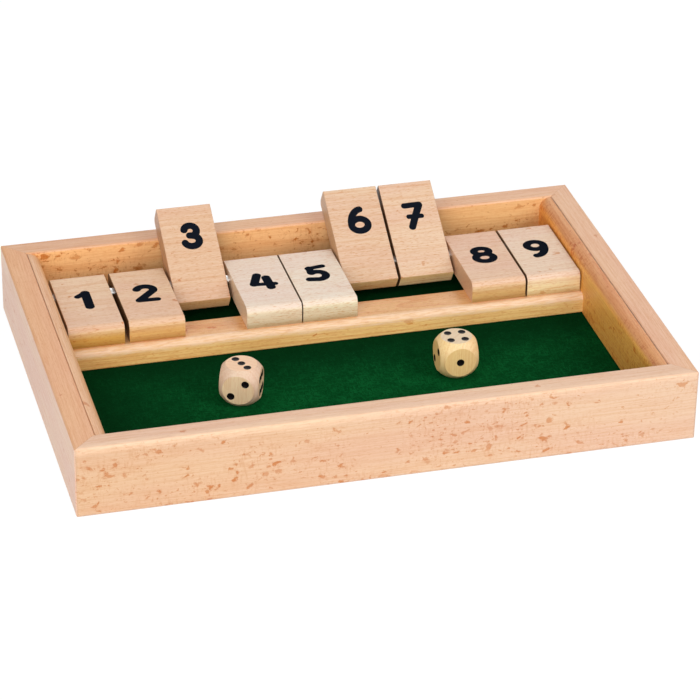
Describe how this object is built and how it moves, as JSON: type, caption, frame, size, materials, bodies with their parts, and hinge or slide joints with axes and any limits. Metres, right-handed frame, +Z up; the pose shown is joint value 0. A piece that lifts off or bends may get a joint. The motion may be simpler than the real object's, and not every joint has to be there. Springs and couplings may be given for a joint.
{
  "type": "shut the box game",
  "caption": "Open wooden dice tray with a green felt floor, a row of hinged number tiles on a steel rod, a stop rail, and wooden dice.",
  "frame": {"origin": "middle of the tray's underside, in the plane that it stands on", "axes": "+X to the right along the row of tiles, from number 1 to number 9, +Y to the back, +Z up"},
  "size_m": [0.28, 0.19, 0.048],
  "materials": {
    "board_wood": "beech, satin lacquer",
    "strip_wood": "beech, satin lacquer",
    "rail_wood": "beech, golden, satin lacquer",
    "plywood": "plywood, unfinished",
    "tile_wood": "beech, satin lacquer, printed numbers",
    "die_wood": "pale wood, satin, black pips",
    "green_felt": "dark green felt",
    "rod_steel": "drawn steel wire"
  },
  "bodies": {
    "tray": {"front_board": "board_wood", "back_board": "board_wood", "left_board": "board_wood", "right_board": "board_wood", "floor_panel": "plywood", "felt": "green_felt", "left_strip": "strip_wood", "right_strip": "strip_wood", "stop_rail": "rail_wood", "hinge_rod": "rod_steel"},
    "tile_1": {"tile_1": "tile_wood"},
    "tile_2": {"tile_2": "tile_wood"},
    "tile_3": {"tile_3": "tile_wood"},
    "tile_4": {"tile_4": "tile_wood"},
    "tile_5": {"tile_5": "tile_wood"},
    "tile_6": {"tile_6": "tile_wood"},
    "tile_7": {"tile_7": "tile_wood"},
    "tile_8": {"tile_8": "tile_wood"},
    "tile_9": {"tile_9": "tile_wood"},
    "left_die": {"left_die": "die_wood"},
    "right_die": {"right_die": "die_wood"}
  },
  "joints": [
    {"name": "tile_1_hinge", "type": "hinge", "parent": "tray", "child": "tile_1", "pos_m": [0, 0.05735, 0.0226], "axis": [-1, 0, 0], "range_deg": [0, 147.5]},
    {"name": "tile_2_hinge", "type": "hinge", "parent": "tray", "child": "tile_2", "pos_m": [0, 0.05735, 0.0226], "axis": [-1, 0, 0], "range_deg": [0, 147.5]},
    {"name": "tile_3_hinge", "type": "hinge", "parent": "tray", "child": "tile_3", "pos_m": [0, 0.05735, 0.0226], "axis": [-1, 0, 0], "range_deg": [-147.5, 0]},
    {"name": "tile_4_hinge", "type": "hinge", "parent": "tray", "child": "tile_4", "pos_m": [0, 0.05735, 0.0226], "axis": [-1, 0, 0], "range_deg": [0, 147.5]},
    {"name": "tile_5_hinge", "type": "hinge", "parent": "tray", "child": "tile_5", "pos_m": [0, 0.05735, 0.0226], "axis": [-1, 0, 0], "range_deg": [0, 147.5]},
    {"name": "tile_6_hinge", "type": "hinge", "parent": "tray", "child": "tile_6", "pos_m": [0, 0.05735, 0.0226], "axis": [-1, 0, 0], "range_deg": [-147.5, 0]},
    {"name": "tile_7_hinge", "type": "hinge", "parent": "tray", "child": "tile_7", "pos_m": [0, 0.05735, 0.0226], "axis": [-1, 0, 0], "range_deg": [-147.5, 0]},
    {"name": "tile_8_hinge", "type": "hinge", "parent": "tray", "child": "tile_8", "pos_m": [0, 0.05735, 0.0226], "axis": [-1, 0, 0], "range_deg": [0, 147.5]},
    {"name": "tile_9_hinge", "type": "hinge", "parent": "tray", "child": "tile_9", "pos_m": [0, 0.05735, 0.0226], "axis": [-1, 0, 0], "range_deg": [0, 147.5]},
    {"name": "left_die_lift", "type": "slide", "parent": "tray", "child": "left_die", "axis": [0, 0, 1], "range_m": [0, 0.06]},
    {"name": "right_die_lift", "type": "slide", "parent": "tray", "child": "right_die", "axis": [0, 0, 1], "range_m": [0, 0.06]}
  ]
}
